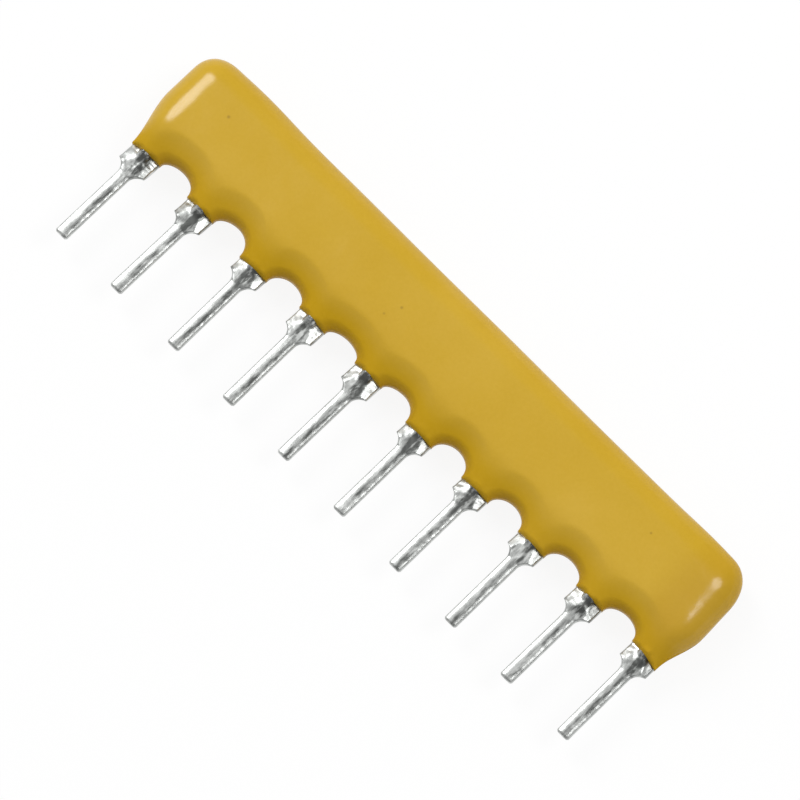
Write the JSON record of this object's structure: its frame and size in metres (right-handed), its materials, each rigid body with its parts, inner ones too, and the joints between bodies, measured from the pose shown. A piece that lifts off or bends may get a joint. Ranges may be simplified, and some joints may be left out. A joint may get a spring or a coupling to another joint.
{
  "type": "resistor network",
  "caption": "Single-in-line resistor network: flat clip leads in a row, soldered to a ceramic plate with printed resistors inside a dipped epoxy coating with a scalloped lower edge.",
  "frame": {"origin": "middle of the bounding box in X and Y, on the plane of the coating's back", "axes": "+X along the row from the first lead to the last, +Y from the lead tips to the top of the body, +Z out of the front face; the part lies on its back"},
  "size_m": [0.0248, 0.008, 0.0021],
  "materials": {
    "coating": "dipped epoxy, soft gloss, ochre yellow",
    "ceramic": "fired alumina, matt white",
    "conductor": "printed and fired silver conductor, matt",
    "resistor_film": "printed and fired resistor glass, black",
    "overglaze": "fired green glass film",
    "solder": "bright solder fillet",
    "tinned_lead": "hot tinned copper alloy, bright, slightly uneven"
  },
  "bodies": {
    "root": {"coating": "coating", "substrate": "ceramic", "common_track": "conductor", "overglaze": "overglaze", "pad_02": "conductor", "pad_03": "conductor", "pad_04": "conductor", "pad_05": "conductor", "pad_06": "conductor", "pad_07": "conductor", "pad_08": "conductor", "pad_09": "conductor", "pad_10": "conductor", "resistor_01": "resistor_film", "resistor_02": "resistor_film", "resistor_03": "resistor_film", "resistor_04": "resistor_film", "resistor_05": "resistor_film", "resistor_06": "resistor_film", "resistor_07": "resistor_film", "resistor_08": "resistor_film", "resistor_09": "resistor_film", "solder_01": "solder", "solder_02": "solder", "solder_03": "solder", "solder_04": "solder", "solder_05": "solder", "solder_06": "solder", "solder_07": "solder", "solder_08": "solder", "solder_09": "solder", "solder_10": "solder", "lead_01": "tinned_lead", "lead_02": "tinned_lead", "lead_03": "tinned_lead", "lead_04": "tinned_lead", "lead_05": "tinned_lead", "lead_06": "tinned_lead", "lead_07": "tinned_lead", "lead_08": "tinned_lead", "lead_09": "tinned_lead", "lead_10": "tinned_lead"}
  },
  "joints": []
}
